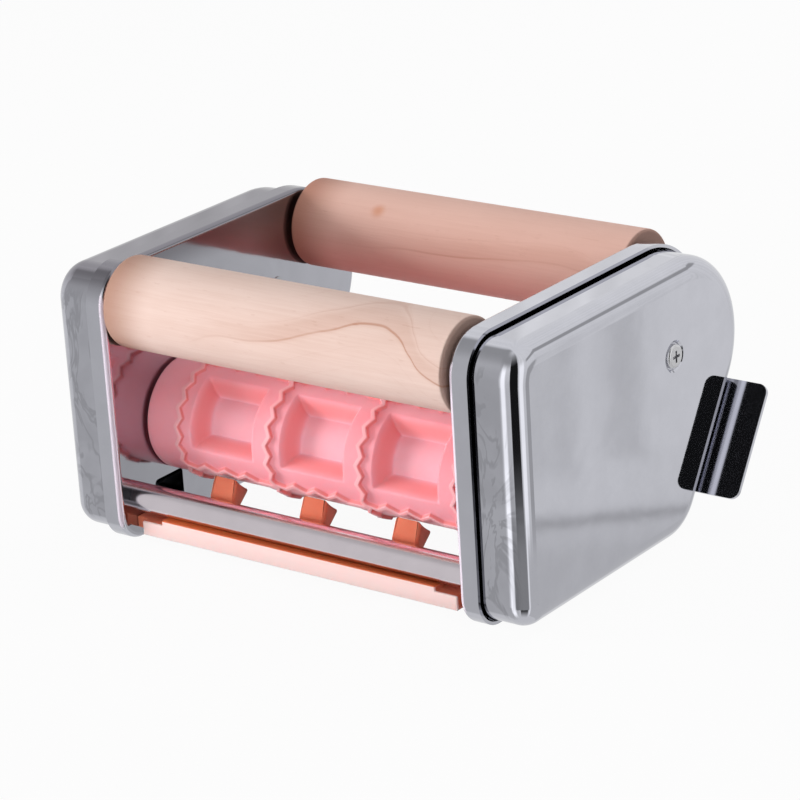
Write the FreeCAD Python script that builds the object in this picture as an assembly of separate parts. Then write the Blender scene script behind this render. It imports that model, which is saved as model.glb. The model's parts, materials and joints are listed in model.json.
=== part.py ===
"""Ravioli attachment for a hand-cranked pasta machine, in millimetres.

The part stands on the bottom edges of its two side plates. X runs along the
rollers, -Y is the front, +Z is up. The origin is on the standing surface,
midway between the side plates and midway from front to rear.

Two moulded rollers, geared together on the right, press filled dough into
squares. Two wooden rollers above them guide the two sheets of dough in.
"""
import FreeCAD
import Part
import math
import os

# Frame: two pressed side plates with a rim turned outwards
plate_gap = 152.0            # clear width between the two side plates
sheet = 1.2                  # thickness of the side plates
rim_depth = 8.0              # how far the rim reaches outwards, sheet included
fold_radius = 2.0            # outside radius of the fold between plate and rim
casing_height = 106.0
front_top_radius = 15.0
front_bottom_radius = 12.0
rear_top_radius = 35.8
rear_bottom_radius = 22.5
rear_lean = 33.3             # degrees that the rear edge leans forward going down

# A window through each side plate, behind the front tie rod
window_behind = 9.2          # behind the front tie rod's axis
window_length = 15.5
window_top = 2.8             # above that axis
window_height = 11.5
window_round = 1.5

# Side covers: deep drawn shells that stand in the rims
cover_sheet = 0.8
cover_slack = 1.0            # gap all round between a rim and its cover
cover_rise = 18.4            # how far the cover stands out past the rim
cover_overlap = 6.0          # how deep the cover's skirt sits inside the rim
cover_round = 7.5            # outside radius of the drawn edge

# Wooden guide rollers
wood_radius = 17.0
wood_proud = 1.7             # how far the front one stands out past the casing
wood_rise = 2.2              # how far it stands above the casing
rear_wood_inset = 23.2       # rear one's axis in front of the casing's rear
rear_wood_drop = 0.7         # and below the front one's
wood_end_gap = 1.3           # from a roller's end to the side plate
wood_axle_radius = 3.0
axle_clearance = 0.08        # running clearance of a roller on its axle
axle_overhang = 4.0          # how far an axle reaches past the plate
washer_radius = 6.0
washer_thickness = 1.0

# Moulded ravioli rollers
die_setback = 23.1           # front moulded roller's axis behind the front wooden one's
die_height = 41.3            # both moulded rollers' axes above the casing's foot
land_radius = 21.5
ridge_height = 1.55
ridge_root = 0.6             # how deep the ridge's foot sits in the roller
ridge_width = 2.0
ring_swing = 1.1             # sideways swing of a ring ridge's zigzag, to each side
bar_swing = 1.5              # and of a cross ridge's
ring_teeth = 20              # zigzag teeth round a ring ridge
bar_teeth = 4                # zigzag teeth of a cross ridge, from ring to ring
bar_pitch = 9.5              # the rest of its length runs straight
pocket_shift = 1.3           # the moulded pattern sits this far right of the middle
ridge_shift = 1.2            # and its ridges this much further
pocket_pitch = 41.2
pockets_along = 3
pockets_around = 3
pocket_length = 28.2         # along the roller, at the rim
pocket_floor_length = 20.0
pocket_floor_radius = 14.2
pocket_rim_angle = 39.0      # half angle of a pocket's opening, at the rim
pocket_floor_angle = 29.0    # half angle of its floor
pocket_tilt = 27.1           # degrees that the front pocket looks up at rest
die_end_gap = 1.0            # from a roller's end to the side plate

# Shafts, bushes and gears
shaft_radius = 4.0
bush_clearance = 0.06
bush_radius = 6.0
bush_flange_radius = 8.5
bush_flange = 0.8
bush_reach = 3.0             # how far a bush reaches outside its plate
gear_module = 1.5
gear_teeth = 31
gear_width = 8.0
gear_hub_radius = 8.0
gear_hub_length = 4.0
gear_gap = 1.0               # between a bush and a gear's hub
gear_backlash = 0.16
pressure_angle = 20.0
fit_gap = 0.02               # slack between pieces that are fixed to each other
pin_radius = 1.25
clip_thickness = 0.8
clip_mouth = 0.6             # half of a clip's mouth, as a share of the shaft's radius
shaft_tail = 3.0

# Crank socket on the left end of the front shaft
socket_radius = 7.0
socket_bore_radius = 4.1
socket_bore_depth = 14.0
socket_shaft_depth = 5.0
socket_wall = 1.5            # between the crank's bore and the shaft
socket_slot = 2.4
socket_slot_depth = 7.0
socket_recess = 1.0          # how far the socket's mouth sits behind the cover's face
crank_hole_radius = 9.5
crank_hole_collar = 2.5

# Tie rods
rod_radius = 5.25
front_rod_setback = 10.7     # front rod's axis behind the front edge of the casing
front_rod_height = 16.5
rear_rod_behind = 21.9       # rear rod's axis behind the rear moulded roller's axis
rear_rod_below = 21.1
rear_rod_inset = 12.4        # rear rod's axis inside the leaning rear edge
tie_screw_radius = 3.0
tie_screw_length = 10.0
tie_head_radius = 5.2
tie_head_height = 3.4

# Stripper combs
comb_height = 7.3
comb_depth = 11.6            # of the bar, front to rear
comb_notch = 1.9             # the bar's ends are lower by this
comb_notch_length = 9.5
comb_end_gap = 5.0           # from the bar's end to the side plate
comb_lug_inset = 3.0
comb_lug_rise = 1.0
comb_rod_gap = 0.3           # a comb stands this far clear of its rod
finger_width = 12.4          # at the bar
finger_tip_width = 11.0
finger_gap = 0.5             # between the ridges and the fingers
finger_thickness = 3.6       # of a finger's upright part, against its rod
finger_round = 1.2           # on the long edges that face its rod
# A finger's top lies under the roller, between two turns given in degrees from
# straight below. Its two faces start to lean at these heights above the rod.
front_finger_turns = (53.7, 33.5)
front_outer_rise = 3.5
front_inner_rise = 0.8
rear_finger_turns = (42.0, 30.5)
rear_outer_rise = 2.0
rear_inner_rise = -0.5

# Mount ears: bent strips behind the side plates
ear_sheet = 1.5
ear_height = 43.3
ear_reach = 12.9             # how far an ear stands out past the cover's face
ear_corner = 3.5
ear_above_rod = 6.5515       # from the rear tie rod's axis up the leaning edge to the ear's leg
ear_leg_reach = 15.0         # of the forward leg, along the inside of the plate
ear_leg_height = 37.0
rivet_radius = 2.0
rivet_head_radius = 3.4
rivet_crown_radius = 2.0
rivet_head = 1.1
rivet_from_end = 9.0

# Cover screw and its post
screw_behind = 83.7          # behind the front wooden roller's axis
screw_above = 30.9           # above the moulded rollers' axes
screw_radius = 2.5
screw_head_radius = 4.5
screw_head_height = 1.8
screw_length = 9.0
screw_recess = 1.2           # depth of the Phillips cross
dimple_radius = 5.9
dimple_depth = 1.0
post_across_flats = 9.0
post_spigot_radius = 3.0
post_spigot_proud = 0.3
post_hollow_radius = 1.9     # blind hole in the spigot's end

# Cutters and slots
cut_past = 1.0               # how far a cutter reaches past what it cuts
end_rounding = 1.2           # on the wooden rollers' ends
groove_depth = 0.6           # of a clip's groove
clip_stand = 1.2             # how far a clip stands out past its shaft
slot_width = 1.2             # of a tie screw's slot
slot_depth = 1.4
screw_hole_slack = 0.2       # round the cover screw's shank, in the cover
screw_cross_reach = 2.2
screw_cross_width = 1.0
screw_head_round = 1.0

# Heights and distances across, worked out from the sizes above
inner_x = plate_gap / 2.0
web_x = inner_x + sheet
rim_x = inner_x + rim_depth
face_x = rim_x + cover_rise
skirt_x = rim_x - cover_overlap
cover_inset = sheet + cover_slack
wood_half = inner_x - wood_end_gap
die_half = inner_x - die_end_gap
wood_z = casing_height + wood_rise - wood_radius
rear_wood_z = wood_z - rear_wood_drop
die_z = die_height
rear_rod_z = die_z - rear_rod_below
ridge_radius = land_radius + ridge_height
screw_z = die_z + screw_above
dimple_floor_x = face_x - dimple_depth
bush_end_x = web_x + bush_reach
gear_hub_x = bush_end_x + gear_gap
gear_x = gear_hub_x + gear_hub_length
lean = math.radians(rear_lean)

# Distances back from the casing's front edge. The leaning rear edge clears the
# rear rod by its inset, and that edge and the top set how deep the casing is.
wood_back = wood_radius - wood_proud
die_spacing = gear_module * gear_teeth
rod_back = wood_back + die_setback + die_spacing + rear_rod_behind
edge_reach = rod_back * math.cos(lean) - rear_rod_z * math.sin(lean) + rear_rod_inset
corner_z = casing_height - rear_top_radius
corner_back = (edge_reach - rear_top_radius + corner_z * math.sin(lean)) / math.cos(lean)
casing_depth = corner_back + rear_top_radius

# Places from front to rear, with the whole part centred
front_y = (wood_proud - casing_depth) / 2.0
rear_y = front_y + casing_depth
front_wood_y = front_y + wood_back
rear_wood_y = rear_y - rear_wood_inset
front_die_y = front_wood_y + die_setback
rear_die_y = front_die_y + die_spacing
front_rod_y = front_y + front_rod_setback
rear_rod_y = front_y + rod_back
screw_y = front_wood_y + screw_behind
X_AXIS = FreeCAD.Vector(1, 0, 0)
ORIGIN = FreeCAD.Vector(0, 0, 0)


def at(x, y, z):
    """A point, in the part's frame."""
    return FreeCAD.Vector(x, y, z)


def rod(radius, x0, x1, y, z):
    """A solid cylinder along X."""
    return Part.makeCylinder(radius, x1 - x0, at(x0, y, z), X_AXIS)


def block(x0, x1, y0, y1, z0, z1):
    """A box from two opposite corners."""
    return Part.makeBox(x1 - x0, y1 - y0, z1 - z0, at(x0, y0, z0))


def mirrored(shape):
    """The same shape on the other side of the machine."""
    return shape.mirror(ORIGIN, X_AXIS)


def both_sides(shape):
    """A right-hand piece and its left-hand twin, as two solids."""
    return [shape, mirrored(shape)]


def save(name, *shapes):
    """Write one named piece, or a group of like pieces."""
    solids = [s for shape in shapes for s in shape.Solids]
    body = solids[0] if len(solids) == 1 else Part.makeCompound(solids)
    body.exportStep(os.path.join("parts", name + ".step"))


def corner_centres():
    """Centres of the casing's four rounded corners, as (y, z, radius)."""
    front_top = (front_y + front_top_radius, casing_height - front_top_radius, front_top_radius)
    front_low = (front_y + front_bottom_radius, front_bottom_radius, front_bottom_radius)
    rear_top = (rear_y - rear_top_radius, casing_height - rear_top_radius, rear_top_radius)
    # The leaning rear edge touches both rear corners, which fixes the lower one's y.
    reach = rear_top[0] * math.cos(lean) - rear_top[1] * math.sin(lean) + rear_top_radius
    low_y = (reach - rear_bottom_radius + rear_bottom_radius * math.sin(lean)) / math.cos(lean)
    rear_low = (low_y, rear_bottom_radius, rear_bottom_radius)
    return front_low, front_top, rear_top, rear_low


def on_corner(corner, inset, degrees, x):
    """A point on a rounded corner. 0 looks to the rear and 90 up."""
    y, z, radius = corner
    turn = math.radians(degrees)
    reach = radius - inset
    return at(x, y + reach * math.cos(turn), z + reach * math.sin(turn))


def outline(inset, x):
    """The casing's side outline, drawn in by inset, as a closed wire at x."""
    front_low, front_top, rear_top, rear_low = corner_centres()
    bends = [
        (front_low, 270.0, 180.0),
        (front_top, 180.0, 90.0),
        (rear_top, 90.0, -rear_lean),
        (rear_low, -rear_lean, -90.0),
    ]
    edges = []
    previous = None
    for corner, start, end in bends:
        p0 = on_corner(corner, inset, start, x)
        p1 = on_corner(corner, inset, (start + end) / 2.0, x)
        p2 = on_corner(corner, inset, end, x)
        if previous is not None:
            edges.append(Part.makeLine(previous, p0))
        edges.append(Part.Arc(p0, p1, p2).toShape())
        previous = p2
    edges.append(Part.makeLine(previous, on_corner(front_low, inset, 270.0, x)))
    return Part.Wire(edges)


def slab(inset, x0, x1):
    """A solid with the casing's outline, from x0 to x1."""
    return Part.Face(outline(inset, x0)).extrude(at(x1 - x0, 0, 0))


def edges_at(shape, x):
    """The edges that lie wholly in the plane at x."""
    near = 1e-4
    return [e for e in shape.Edges if abs(e.BoundBox.XMin - x) < near and abs(e.BoundBox.XMax - x) < near]


def rounded_slab(inset, x0, x1, radius, round_x):
    """A slab whose outline edge at round_x is rounded."""
    body = slab(inset, x0, x1)
    return body.makeFillet(radius, edges_at(body, round_x))


def rear_edge_point(along, out, x):
    """A point given by its distance down the leaning rear edge and out from it."""
    rear_top = corner_centres()[2]
    start = on_corner(rear_top, 0.0, -rear_lean, x)
    y = start.y - along * math.sin(lean) + out * math.cos(lean)
    z = start.z - along * math.cos(lean) - out * math.sin(lean)
    return at(x, y, z)


def rear_edge_prism(x0, x1, along0, along1, out0, out1):
    """A square-edged bar lying along the leaning rear edge."""
    corners = [(along0, out0), (along1, out0), (along1, out1), (along0, out1)]
    points = [rear_edge_point(a, o, x0) for a, o in corners]
    wire = Part.makePolygon(points + [points[0]])
    return Part.Face(wire).extrude(at(x1 - x0, 0, 0))


def ear_start():
    """How far down the leaning rear edge the ears begin. Their legs end above the rear tie rod."""
    top = rear_edge_point(0.0, 0.0, 0.0)
    rod_along = (top.y - rear_rod_y) * math.sin(lean) + (top.z - rear_rod_z) * math.cos(lean)
    return rod_along - ear_above_rod - ear_leg_height


def rivet_places():
    """Where an ear's two rivets go through the plate, as (y, z)."""
    places = []
    start = ear_start()
    for along in (start + rivet_from_end, start + ear_leg_height - rivet_from_end):
        point = rear_edge_point(along, -ear_leg_reach / 2.0, 0.0)
        places.append((point.y, point.z))
    return places


def side_plate():
    """The right side plate: a shallow pan with its rim turned outwards."""
    outer = rounded_slab(0.0, inner_x, rim_x, fold_radius, inner_x)
    inner = rounded_slab(sheet, web_x, rim_x + cut_past, fold_radius - sheet, web_x)
    plate = outer.cut(inner)
    holes = []
    for y, z in ((front_wood_y, wood_z), (rear_wood_y, rear_wood_z)):
        holes.append((wood_axle_radius + fit_gap, y, z))
    for y in (front_die_y, rear_die_y):
        holes.append((bush_radius + fit_gap, y, die_z))
    holes.append((tie_screw_radius + fit_gap, front_rod_y, front_rod_height))
    holes.append((tie_screw_radius + fit_gap, rear_rod_y, rear_rod_z))
    holes.append((post_spigot_radius + fit_gap, screw_y, screw_z))
    for y, z in rivet_places():
        holes.append((rivet_radius + fit_gap, y, z))
    for radius, y, z in holes:
        plate = plate.cut(rod(radius, inner_x - cut_past, web_x + cut_past, y, z))
    y0 = front_rod_y + window_behind
    z1 = front_rod_height + window_top
    window = block(inner_x - cut_past, web_x + cut_past, y0, y0 + window_length, z1 - window_height, z1)
    long_edges = [e for e in window.Edges if e.BoundBox.XLength > sheet]
    return plate.cut(window.makeFillet(window_round, long_edges))


def side_cover():
    """The right cover: a drawn shell with a dimple for its screw."""
    outer = rounded_slab(cover_inset, skirt_x, face_x, cover_round, face_x)
    inside_x = face_x - cover_sheet
    inner = rounded_slab(
        cover_inset + cover_sheet, skirt_x - cut_past, inside_x, cover_round - cover_sheet, inside_x
    )
    shell = outer.cut(inner)
    floor_radius = dimple_radius - dimple_depth
    floor = at(dimple_floor_x, screw_y, screw_z)
    back = at(dimple_floor_x - cover_sheet, screw_y, screw_z)
    pressed = Part.makeCone(floor_radius, dimple_radius, dimple_depth, floor, X_AXIS)
    backing = Part.makeCone(
        floor_radius + cover_sheet, dimple_radius + cover_sheet, dimple_depth, back, X_AXIS
    )
    shell = shell.fuse(backing).cut(pressed)
    hole_start = dimple_floor_x - cover_sheet - cut_past
    hole = rod(screw_radius + screw_hole_slack, hole_start, face_x, screw_y, screw_z)
    return shell.cut(hole).removeSplitter()


def crank_cover():
    """The left cover: the same shell, with a collared hole for the crank."""
    shell = mirrored(side_cover())
    collar_x = -face_x + cover_sheet / 2.0
    collar_end = collar_x + crank_hole_collar
    collar = rod(crank_hole_radius + cover_sheet, collar_x, collar_end, front_die_y, die_z)
    hole = rod(crank_hole_radius, -face_x - cut_past, collar_end + cut_past, front_die_y, die_z)
    return shell.fuse(collar).cut(hole).removeSplitter()


def wood_roller(y, z):
    """A turned wooden roller, bored for its axle, with softened ends."""
    body = rod(wood_radius, -wood_half, wood_half, y, z)
    body = body.makeFillet(end_rounding, edges_at(body, -wood_half) + edges_at(body, wood_half))
    return body.cut(rod(wood_axle_radius + axle_clearance, -wood_half, wood_half, y, z))


def wood_axle(y, z):
    """The fixed axle of a wooden roller, grooved at both ends for its clips."""
    reach = web_x + axle_overhang
    body = rod(wood_axle_radius, -reach, reach, y, z)
    return body.cut(both_sides(clip_ring(y, z, wood_axle_radius, web_x)))


def clip_ring(y, z, shaft, x0):
    """A ring that fills a groove in a shaft and stands out past it."""
    ring = rod(shaft + clip_stand, x0, x0 + clip_thickness, y, z)
    return ring.cut(rod(shaft - groove_depth, x0, x0 + clip_thickness, y, z))


def clip(y, z, shaft, x0):
    """A retaining clip: a ring with an open mouth that snaps over the groove."""
    half_mouth = shaft * clip_mouth
    mouth = block(x0, x0 + clip_thickness, y - half_mouth, y + half_mouth, z, z + 2.0 * shaft)
    return clip_ring(y, z, shaft, x0).cut(mouth)


def washer(y, z):
    """A washer between a wooden roller and the right side plate."""
    x0 = wood_half + (wood_end_gap - washer_thickness) / 2.0
    body = rod(washer_radius, x0, x0 + washer_thickness, y, z)
    return body.cut(rod(wood_axle_radius + fit_gap, x0, x0 + washer_thickness, y, z))


def wheel_point(x, degrees, radius):
    """A point on a roller about the X axis. 0 looks to the front, 90 up."""
    turn = math.radians(degrees)
    return at(x, -radius * math.cos(turn), radius * math.sin(turn))


def ridge(stations, closed):
    """A zigzag ridge as one closed solid.

    Each station is (x0, x1, degrees0, degrees1): the ridge's two sides there.
    Its foot lies inside the roller and its crest at the ridge's radius.
    """
    foot = land_radius - ridge_root
    loops = []
    for x0, x1, turn0, turn1 in stations:
        loops.append([
            wheel_point(x0, turn0, foot),
            wheel_point(x0, turn0, ridge_radius),
            wheel_point(x1, turn1, ridge_radius),
            wheel_point(x1, turn1, foot),
        ])
    faces = []
    count = len(loops) if closed else len(loops) - 1
    for i in range(count):
        here = loops[i]
        there = loops[(i + 1) % len(loops)]
        for k in range(4):
            a, b = here[k], here[(k + 1) % 4]
            c, d = there[(k + 1) % 4], there[k]
            for triangle in ((a, b, c), (a, c, d)):
                faces.append(Part.Face(Part.makePolygon(list(triangle) + [triangle[0]])))
    if not closed:
        for loop in (loops[0], loops[-1]):
            for triangle in ((loop[0], loop[1], loop[2]), (loop[0], loop[2], loop[3])):
                faces.append(Part.Face(Part.makePolygon(list(triangle) + [triangle[0]])))
    solid = Part.Solid(Part.Shell(faces))
    solid.fix(1e-5, 1e-5, 1e-3)
    if solid.Volume < 0:
        solid.reverse()
    return solid


def ring_ridge(x):
    """A zigzag ridge right round the roller at x."""
    stations = []
    half = ridge_width / 2.0
    for i in range(2 * ring_teeth):
        middle = x + ring_swing * (1 if i % 2 else -1)
        turn = pocket_tilt + i * 180.0 / ring_teeth
        stations.append((middle - half, middle + half, turn, turn))
    return ridge(stations, True)


def cross_ridge(x0, x1, degrees):
    """A zigzag ridge along the roller, from one ring ridge to the next."""
    half = math.degrees(ridge_width / 2.0 / ridge_radius)
    swing = math.degrees(bar_swing / ridge_radius)
    bends = [(x0, 0)]
    for i in range(1, 2 * bar_teeth):
        bends.append((x0 + i * bar_pitch / 2.0, (-1) ** i))
    bends.append((x1, -1))
    stations = []
    for x, side in bends:
        middle = degrees + swing * side
        stations.append((x, x, middle + half, middle - half))
    return ridge(stations, False)


def pocket_cutter():
    """What one pocket takes away: sloped sides down to a round floor."""
    top_radius = ridge_radius + cut_past
    rim_half = pocket_length / 2.0
    floor_half = pocket_floor_length / 2.0
    slope = (rim_half - floor_half) / (land_radius - pocket_floor_radius)
    top_half = rim_half + slope * (top_radius - land_radius)
    profile = [
        at(-floor_half, -pocket_floor_radius, 0),
        at(floor_half, -pocket_floor_radius, 0),
        at(top_half, -top_radius, 0),
        at(-top_half, -top_radius, 0),
    ]
    face = Part.Face(Part.makePolygon(profile + [profile[0]]))
    wedge_angle = 180.0 / pockets_around * 2.0
    face.rotate(ORIGIN, X_AXIS, wedge_angle / 2.0)
    ring = face.revolve(ORIGIN, X_AXIS, -wedge_angle)
    rim_turn = math.radians(pocket_rim_angle)
    floor_turn = math.radians(pocket_floor_angle)
    rim = (land_radius * math.cos(rim_turn), land_radius * math.sin(rim_turn))
    floor = (pocket_floor_radius * math.cos(floor_turn), pocket_floor_radius * math.sin(floor_turn))
    rise = (rim[1] - floor[1]) / (rim[0] - floor[0])
    low = floor[0] - pocket_floor_radius / 2.0
    high = top_radius + cut_past
    sides = []
    for height in (low, high):
        sides.append((height, floor[1] + rise * (height - floor[0])))
    x = -top_half - cut_past
    points = [
        at(x, -sides[0][0], -sides[0][1]),
        at(x, -sides[1][0], -sides[1][1]),
        at(x, -sides[1][0], sides[1][1]),
        at(x, -sides[0][0], sides[0][1]),
    ]
    wedge = Part.Face(Part.makePolygon(points + [points[0]])).extrude(at(-2.0 * x, 0, 0))
    return ring.common(wedge)


def ravioli_roller():
    """The front moulded roller about the X axis, in its rest turn."""
    body = rod(land_radius, -die_half, die_half, 0.0, 0.0)
    around = 360.0 / pockets_around
    ring_places = []
    for i in range(pockets_along + 1):
        ring_places.append(pocket_shift + ridge_shift + (i - pockets_along / 2.0) * pocket_pitch)
    tools = []
    cutter = pocket_cutter()
    for i in range(pockets_along):
        middle = (ring_places[i] + ring_places[i + 1]) / 2.0 - ridge_shift
        for k in range(pockets_around):
            tool = cutter.copy()
            tool.rotate(ORIGIN, X_AXIS, -(pocket_tilt + k * around))
            tool.translate(at(middle, 0, 0))
            tools.append(tool)
    body = body.cut(tools)
    ridges = [ring_ridge(x) for x in ring_places]
    for i in range(pockets_along):
        for k in range(pockets_around):
            turn = pocket_tilt + (k + 0.5) * around
            ridges.append(cross_ridge(ring_places[i], ring_places[i + 1], turn))
    body = body.fuse(ridges)
    return body.cut(rod(shaft_radius + fit_gap, -die_half, die_half, 0.0, 0.0))


def gear_outline(x):
    """The outline of a spur gear about the X axis, with one tooth facing front."""
    pitch_radius = gear_module * gear_teeth / 2.0
    base_radius = pitch_radius * math.cos(math.radians(pressure_angle))
    tip_radius = pitch_radius + gear_module
    root_radius = pitch_radius - 1.25 * gear_module

    def flank(radius):
        """Half angle of a tooth at a radius, from the involute of the base circle."""
        def roll(r):
            cosine = min(1.0, base_radius / r)
            return math.tan(math.acos(cosine)) - math.acos(cosine)
        half_at_pitch = math.pi / 2.0 / gear_teeth - gear_backlash / 2.0 / pitch_radius
        return math.degrees(half_at_pitch + roll(pitch_radius) - roll(max(radius, base_radius)))

    step = 360.0 / gear_teeth
    start_radius = max(base_radius, root_radius)
    middle_radius = (start_radius + tip_radius) / 2.0
    edges = []
    for i in range(gear_teeth):
        turn = i * step
        foot0 = wheel_point(x, turn - flank(start_radius), root_radius)
        root0 = wheel_point(x, turn - flank(start_radius), start_radius)
        mid0 = wheel_point(x, turn - flank(middle_radius), middle_radius)
        tip0 = wheel_point(x, turn - flank(tip_radius), tip_radius)
        tip1 = wheel_point(x, turn + flank(tip_radius), tip_radius)
        mid1 = wheel_point(x, turn + flank(middle_radius), middle_radius)
        root1 = wheel_point(x, turn + flank(start_radius), start_radius)
        foot1 = wheel_point(x, turn + flank(start_radius), root_radius)
        next_foot = wheel_point(x, turn + step - flank(start_radius), root_radius)
        edges.append(Part.makeLine(foot0, root0))
        edges.append(Part.Arc(root0, mid0, tip0).toShape())
        edges.append(Part.makeLine(tip0, tip1))
        edges.append(Part.Arc(tip1, mid1, root1).toShape())
        edges.append(Part.makeLine(root1, foot1))
        edges.append(Part.makeLine(foot1, next_foot))
    return Part.Wire(edges)


def gear(y):
    """A spur gear with a hub on its inner side, at its place on the right."""
    body = Part.Face(gear_outline(gear_x)).extrude(at(gear_width, 0, 0))
    body = body.fuse(rod(gear_hub_radius, gear_hub_x, gear_x, 0.0, 0.0))
    body = body.cut(rod(shaft_radius + fit_gap, gear_hub_x, gear_x + gear_width, 0.0, 0.0))
    body.translate(at(0, y, die_z))
    return body.cut(upright_pin(y, pin_radius + fit_gap))


def upright_pin(y, radius):
    """A cylinder through the middle of a gear's hub and the shaft inside it."""
    x = gear_hub_x + gear_hub_length / 2.0
    foot = at(x, y, die_z - gear_hub_radius)
    return Part.makeCylinder(radius, 2.0 * gear_hub_radius, foot, at(0, 0, 1))


def gear_pin(y):
    """The pin that locks a gear to its shaft, flush with the round hub."""
    hub = rod(gear_hub_radius, gear_hub_x, gear_x, y, die_z)
    return upright_pin(y, pin_radius).common(hub)


def bush(y):
    """A bush in the right side plate, with its flange towards the roller."""
    flange_x = inner_x - bush_flange
    body = rod(bush_flange_radius, flange_x, inner_x, y, die_z)
    body = body.fuse(rod(bush_radius, inner_x, bush_end_x, y, die_z))
    return body.cut(rod(shaft_radius + bush_clearance, flange_x, bush_end_x, y, die_z))


def right_shaft_end():
    """Where both shafts end on the right, past the gear and its clip."""
    return gear_x + gear_width + clip_thickness + shaft_tail


def shaft(y, left_end):
    """A shaft through a moulded roller, from left_end to its gear's clip."""
    body = rod(shaft_radius, left_end, right_shaft_end(), y, die_z)
    body = body.cut(clip_ring(y, die_z, shaft_radius, gear_x + gear_width))
    return body.cut(upright_pin(y, pin_radius + fit_gap))


def socket_floor_x():
    """How far from the middle the crank socket's blind wall ends, where the shaft starts."""
    return face_x - socket_recess - socket_bore_depth - socket_wall


def crank_socket():
    """The socket that takes the crank, slotted for the crank's cross pin."""
    mouth = socket_recess - face_x
    floor = mouth + socket_bore_depth
    shaft_start = -socket_floor_x()
    inner_end = shaft_start + socket_shaft_depth
    body = rod(socket_radius, mouth, inner_end, front_die_y, die_z)
    body = body.cut(rod(socket_bore_radius, mouth, floor, front_die_y, die_z))
    body = body.cut(rod(shaft_radius + fit_gap, shaft_start, inner_end, front_die_y, die_z))
    slot = block(
        mouth,
        mouth + socket_slot_depth,
        front_die_y - socket_radius,
        front_die_y + socket_radius,
        die_z - socket_slot / 2.0,
        die_z + socket_slot / 2.0,
    )
    return body.cut(slot)


def tie_rod(y, z):
    """A bar between the side plates, tapped at both ends."""
    body = rod(rod_radius, -inner_x, inner_x, y, z)
    depth = tie_screw_length - sheet + cut_past
    for hole in both_sides(rod(tie_screw_radius + fit_gap, inner_x - depth, inner_x, y, z)):
        body = body.cut(hole)
    return body


def tie_screw(y, z):
    """The screw that holds a tie rod's right end, with a slotted head."""
    head_x = web_x + tie_head_height
    body = rod(tie_screw_radius, web_x - tie_screw_length, web_x, y, z)
    body = body.fuse(rod(tie_head_radius, web_x, head_x, y, z))
    reach = tie_head_radius
    half = slot_width / 2.0
    return body.cut(block(head_x - slot_depth, head_x, y - reach, y + reach, z - half, z + half))


def finger(axis_y, rod_y, rod_z, side, low_z, shape):
    """One finger of a comb, about x = 0: an upright strip behind the rod.

    Its top leans over to the roller and is hollowed to the ridges' circle.
    side is -1 for a rod in front of the roller and +1 behind it.
    """
    start, end, outer_rise, inner_rise = shape
    reach = ridge_radius + finger_gap
    half = finger_width / 2.0

    def under(degrees):
        """A point below the roller, turned towards the comb's rod."""
        turn = math.radians(degrees)
        return at(-half, axis_y + side * reach * math.sin(turn), die_z - reach * math.cos(turn))

    outer_y = rod_y - side * (rod_radius + comb_rod_gap)
    inner_y = outer_y - side * finger_thickness
    low_outer = at(-half, outer_y, low_z)
    bend_outer = at(-half, outer_y, rod_z + outer_rise)
    bend_inner = at(-half, inner_y, rod_z + inner_rise)
    low_inner = at(-half, inner_y, low_z)
    edges = [
        Part.makeLine(low_outer, bend_outer),
        Part.makeLine(bend_outer, under(start)),
        Part.Arc(under(start), under((start + end) / 2.0), under(end)).toShape(),
        Part.makeLine(under(end), bend_inner),
        Part.makeLine(bend_inner, low_inner),
        Part.makeLine(low_inner, low_outer),
    ]
    strip = Part.Face(Part.Wire(edges)).extrude(at(finger_width, 0, 0))
    top_z = strip.BoundBox.ZMax
    tip = finger_tip_width / 2.0
    front_y = strip.BoundBox.YMin - cut_past
    corners = [
        at(-half, front_y, low_z),
        at(half, front_y, low_z),
        at(tip, front_y, top_z),
        at(-tip, front_y, top_z),
    ]
    taper = Part.Face(Part.makePolygon(corners + [corners[0]]))
    strip = strip.common(taper.extrude(at(0, strip.BoundBox.YLength + 2.0 * cut_past, 0)))
    near = 1e-3
    long_edges = []
    for edge in strip.Edges:
        middle = (edge.BoundBox.XMin + edge.BoundBox.XMax) / 2.0
        ends = [v.Point for v in edge.Vertexes]
        upright = len(ends) == 2 and abs(ends[0].z - ends[1].z) > finger_round
        above_bend = min(p.z for p in ends) > rod_z + outer_rise - near
        faces_rod = all(side * (p.y - inner_y) > near for p in ends)
        if upright and abs(middle) > near and (faces_rod or above_bend):
            long_edges.append(edge)
    return strip.makeFillet(finger_round, long_edges)


def comb(axis_y, rod_y, rod_z, side, shape):
    """A stripper comb: a bar under its rod, and a finger for each pocket."""
    top_z = rod_z - rod_radius
    low_z = top_z - comb_height
    outer_y = rod_y + side * rod_radius
    inner_y = outer_y - side * comb_depth
    y0 = min(outer_y, inner_y)
    y1 = max(outer_y, inner_y)
    half = inner_x - comb_end_gap
    body = block(-half, half, y0, y1, low_z, top_z)
    notch_x = half - comb_notch_length
    notch_z = top_z - comb_notch
    notch = block(notch_x, half, y0, y1, notch_z, top_z)
    lug = block(half, inner_x, y0 + comb_lug_inset, y1 - comb_lug_inset, low_z + comb_lug_rise, notch_z)
    body = body.cut(both_sides(notch))
    body = body.fuse(both_sides(lug))
    for i in range(pockets_along):
        one = finger(axis_y, rod_y, rod_z, side, low_z, shape)
        one.translate(at((i - (pockets_along - 1) / 2.0) * pocket_pitch, 0, 0))
        body = body.fuse(one)
    seat = rod(rod_radius + comb_rod_gap, -half, half, rod_y, rod_z)
    return body.cut(seat).removeSplitter()


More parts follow.
